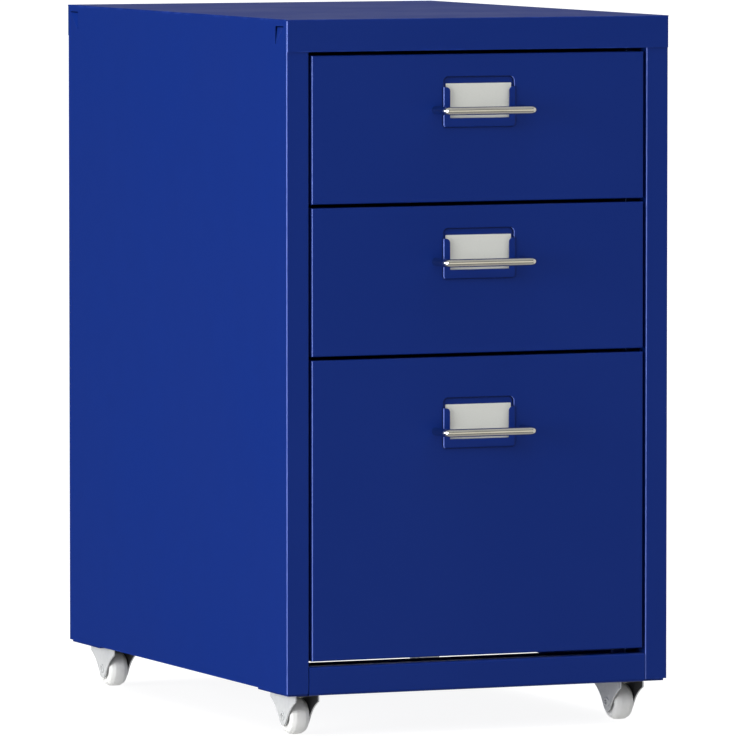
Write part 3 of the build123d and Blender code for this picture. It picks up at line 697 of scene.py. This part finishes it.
def softened(node, name, width):
    """A merged copy of a CAD piece whose sharp edges are rounded over a little."""
    shape = bmesh.new()
    shape.from_mesh(nodes[node].data)
    bmesh.ops.remove_doubles(shape, verts=shape.verts, dist=0.001 * mm)
    bmesh.ops.dissolve_limit(shape, angle_limit=radians(0.5), verts=shape.verts, edges=shape.edges)
    mesh = bpy.data.meshes.new(name)
    shape.to_mesh(mesh)
    shape.free()
    if "custom_normal" in mesh.attributes:
        mesh.attributes.remove(mesh.attributes["custom_normal"])
    mesh.shade_smooth()
    mesh.set_sharp_from_angle(angle=radians(35))
    piece = bpy.data.objects.new(name, mesh)
    scene.collection.objects.link(piece)
    round_over = piece.modifiers.new("rounded_edges", "BEVEL")
    round_over.width = width
    round_over.segments = 2
    round_over.limit_method = "ANGLE"
    round_over.angle_limit = radians(40)
    return piece


def fork_zinc(caster):
    """Bright zinc plate, painted near black as shade between the cheeks of one fork."""
    low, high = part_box(f"caster_fork_{caster}")
    name = f"fork_zinc_{caster}"
    finish = plated_zinc(name, fork_grey, fork_pale, fork_roughness, fork_metallic, fork_shine)
    tree = finish.node_tree
    shader = tree.nodes["Principled BSDF"]
    spot = place(tree, "ShaderNodeTexCoord").outputs["Object"]
    part = place(tree, "ShaderNodeSeparateXYZ", {0: spot})
    from_middle = figure(tree, "SUBTRACT", part.outputs["X"], (low.x + high.x) / 2)
    inner_half = (high.x - low.x) / 2 - fork_sheet
    off_middle = figure(tree, "ABSOLUTE", from_middle)
    inside = fade(tree, off_middle, inner_half + 0.3 * mm, inner_half + 0.05 * mm)
    under_top = figure(tree, "LESS_THAN", part.outputs["Z"], high.z - fork_sheet / 2)
    # painted shade on the faces between the cheeks
    painted_light_mask = figure(tree, "MULTIPLY", inside, under_top)
    plate = shader.inputs["Base Color"].links[0].from_socket
    tree.links.new(mixed(tree, painted_light_mask, plate, fork_inside_shade), shader.inputs["Base Color"])
    return finish


for caster in casters:
    fork = softened(f"caster_fork_{caster}", f"fork_{caster}", fork_edge_round)
    fork.data.materials.append(fork_zinc(caster))
    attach(fork, f"swivel_{caster}")
    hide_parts(f"caster_fork_{caster}")

# Caster axles: hollow-ended rivets through both cheeks of the fork, peened over into a ring.
# The same bright zinc as the fork.
axle_head_height = 1.2 * mm
axle_shank = 2.5 * mm
axle_hollow = 2.4 * mm
axle_zinc = plated_zinc(
    "axle_zinc", fork_grey, fork_pale, fork_roughness, fork_metallic, fork_shine
)
for caster in casters:
    low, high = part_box(f"caster_axle_{caster}")
    end = (high.x - low.x) / 2
    head = (high.z - low.z) / 2
    seat = end - axle_head_height
    half_profile = [(0, end - axle_hollow), (0.45 * head, end - 2.3 * mm)]
    half_profile += [(0.55 * head, end - 1.9 * mm), (0.62 * head, end - 0.2 * mm), (0.74 * head, end)]
    half_profile += [(0.9 * head, end - 0.15 * mm), (head, end - 0.6 * mm), (head, seat)]
    half_profile += [(axle_shank, seat)]
    profile = half_profile + [(radius, -along) for radius, along in reversed(half_profile)]
    axle_mesh = turned(f"axle_rivet_{caster}", profile, closed=False, steps=48)
    axle_mesh.transform(Matrix.Translation((low + high) / 2) @ Matrix.Rotation(radians(90), 4, "Y"))
    axle_mesh.materials.append(axle_zinc)
    axle = bpy.data.objects.new(f"axle_rivet_{caster}", axle_mesh)
    scene.collection.objects.link(axle)
    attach(axle, f"swivel_{caster}")
    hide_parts(f"caster_axle_{caster}")

# Caster wheels: moulded white plastic with a barrel tread, a rounded shoulder and a rim ring.
# The side faces are sunk round a hub that runs on the axle.
wheel_white = (0.96, 0.96, 0.94, 1.0)
wheel_grey = (0.92, 0.92, 0.90, 1.0)
# dark grey, painted as shade into the wheel's own creases
wheel_crease_shade = (0.25, 0.25, 0.24, 1.0)
wheel_dust = (0.45, 0.44, 0.42, 1.0)
wheel_crease_shade_depth = 3.0 * mm
wheel_bore = 2.55 * mm
hub_radius = 5.4 * mm
hub_round = 0.3 * mm
sunk_face = 1.2 * mm
rim_inner = 9.2 * mm
tread_half = 8.75 * mm
shoulder_radius = 4.2 * mm
crown = 0.9 * mm
shoulder_steps = 8
crown_steps = 6
moulded_white, tree, shader = new_finish("moulded_white_plastic")
coat = placed_group(tree, skin, Grain_Scale=1400.0, Drift_Scale=120.0)
scuffs = placed_group(tree, dust, Amount=0.10)
colour = mixed(tree, fade(tree, coat.outputs["Drift"], 0.3, 0.7), wheel_white, wheel_grey)
colour = mixed(tree, scuffs.outputs["Dust"], colour, wheel_dust)
# painted shade round the sunk faces and the hub
deep = placed_group(tree, crease, Depth=wheel_crease_shade_depth)
colour = mixed(tree, deep.outputs["Crease"], colour, wheel_crease_shade)
tree.links.new(colour, shader.inputs["Base Color"])
tree.links.new(fade(tree, coat.outputs["Drift"], 0.3, 0.7, 0.44, 0.54), shader.inputs["Roughness"])
shader.inputs["Specular IOR Level"].default_value = 0.15
bumped(tree, shader, coat.outputs["Height"], 0.01 * mm)
for caster in casters:
    low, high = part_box(f"caster_wheel_{caster}")
    radius = (high.z - low.z) / 2
    hub_end = (high.x - low.x) / 2
    face = tread_half - sunk_face
    half_profile = [(wheel_bore, hub_end), (hub_radius - hub_round, hub_end)]
    half_profile += [(hub_radius, hub_end - hub_round), (hub_radius + hub_round, face)]
    half_profile += [(rim_inner, face), (rim_inner + 0.5 * mm, tread_half - 0.25 * mm)]
    half_profile += [(rim_inner + 1.1 * mm, tread_half)]
    shoulder_middle = (radius - crown - shoulder_radius, tread_half - shoulder_radius)
    for step in range(shoulder_steps + 1):
        angle = radians(90 - 80 * step / shoulder_steps)
        out = shoulder_middle[0] + shoulder_radius * cos(angle)
        along = shoulder_middle[1] + shoulder_radius * sin(angle)
        half_profile.append((out, along))
    shoulder_end = half_profile[-1][1]
    for step in range(1, crown_steps):
        along = shoulder_end * (1 - step / crown_steps)
        half_profile.append((radius - crown * (along / tread_half) ** 2, along))
    other_half = [(out, -along) for out, along in reversed(half_profile)]
    profile = half_profile + [(radius, 0)] + other_half
    wheel_mesh = turned(f"wheel_{caster}", profile, closed=True, steps=96)
    wheel_mesh.transform(Matrix.Translation((low + high) / 2) @ Matrix.Rotation(radians(90), 4, "Y"))
    wheel_mesh.materials.append(moulded_white)
    wheel = bpy.data.objects.new(f"wheel_{caster}", wheel_mesh)
    scene.collection.objects.link(wheel)
    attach(wheel, f"roller_{caster}")
    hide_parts(f"caster_wheel_{caster}")
